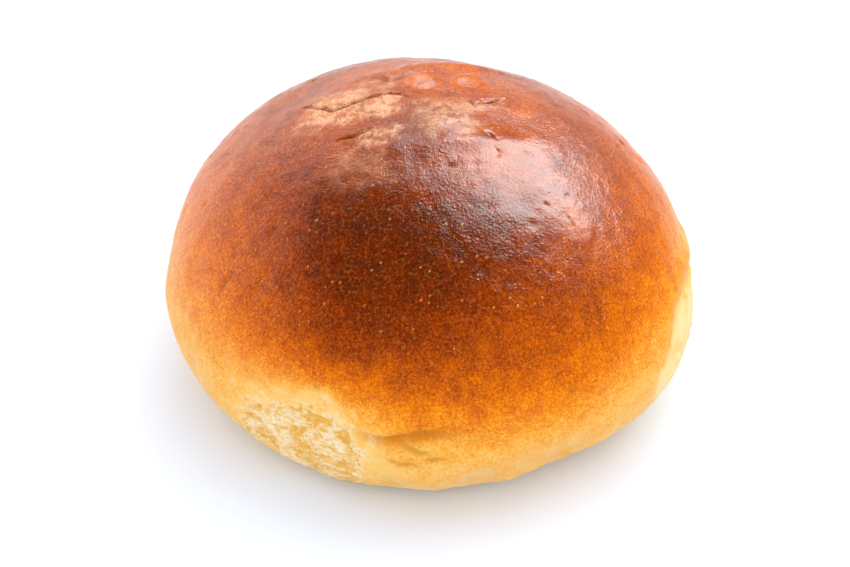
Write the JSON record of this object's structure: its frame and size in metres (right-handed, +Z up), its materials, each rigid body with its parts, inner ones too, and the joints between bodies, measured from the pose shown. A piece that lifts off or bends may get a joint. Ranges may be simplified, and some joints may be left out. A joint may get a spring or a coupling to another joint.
{
  "type": "bread roll",
  "caption": "Soft round egg-washed bread roll with a glossy brown crown, a pale skirt and torn kiss marks where its neighbours in the batch were pulled away; rests on its flat base.",
  "frame": {"origin": "on the flat underside, below the middle of the roll's bounding box", "axes": "+Z up through the crown, -Y towards the front with the larger torn kiss mark low on its left, +X to the right"},
  "size_m": [0.0992, 0.1, 0.0575],
  "materials": {
    "baked_crust": "satin"
  },
  "bodies": {
    "root": {"bread_roll": "baked_crust"}
  },
  "joints": []
}
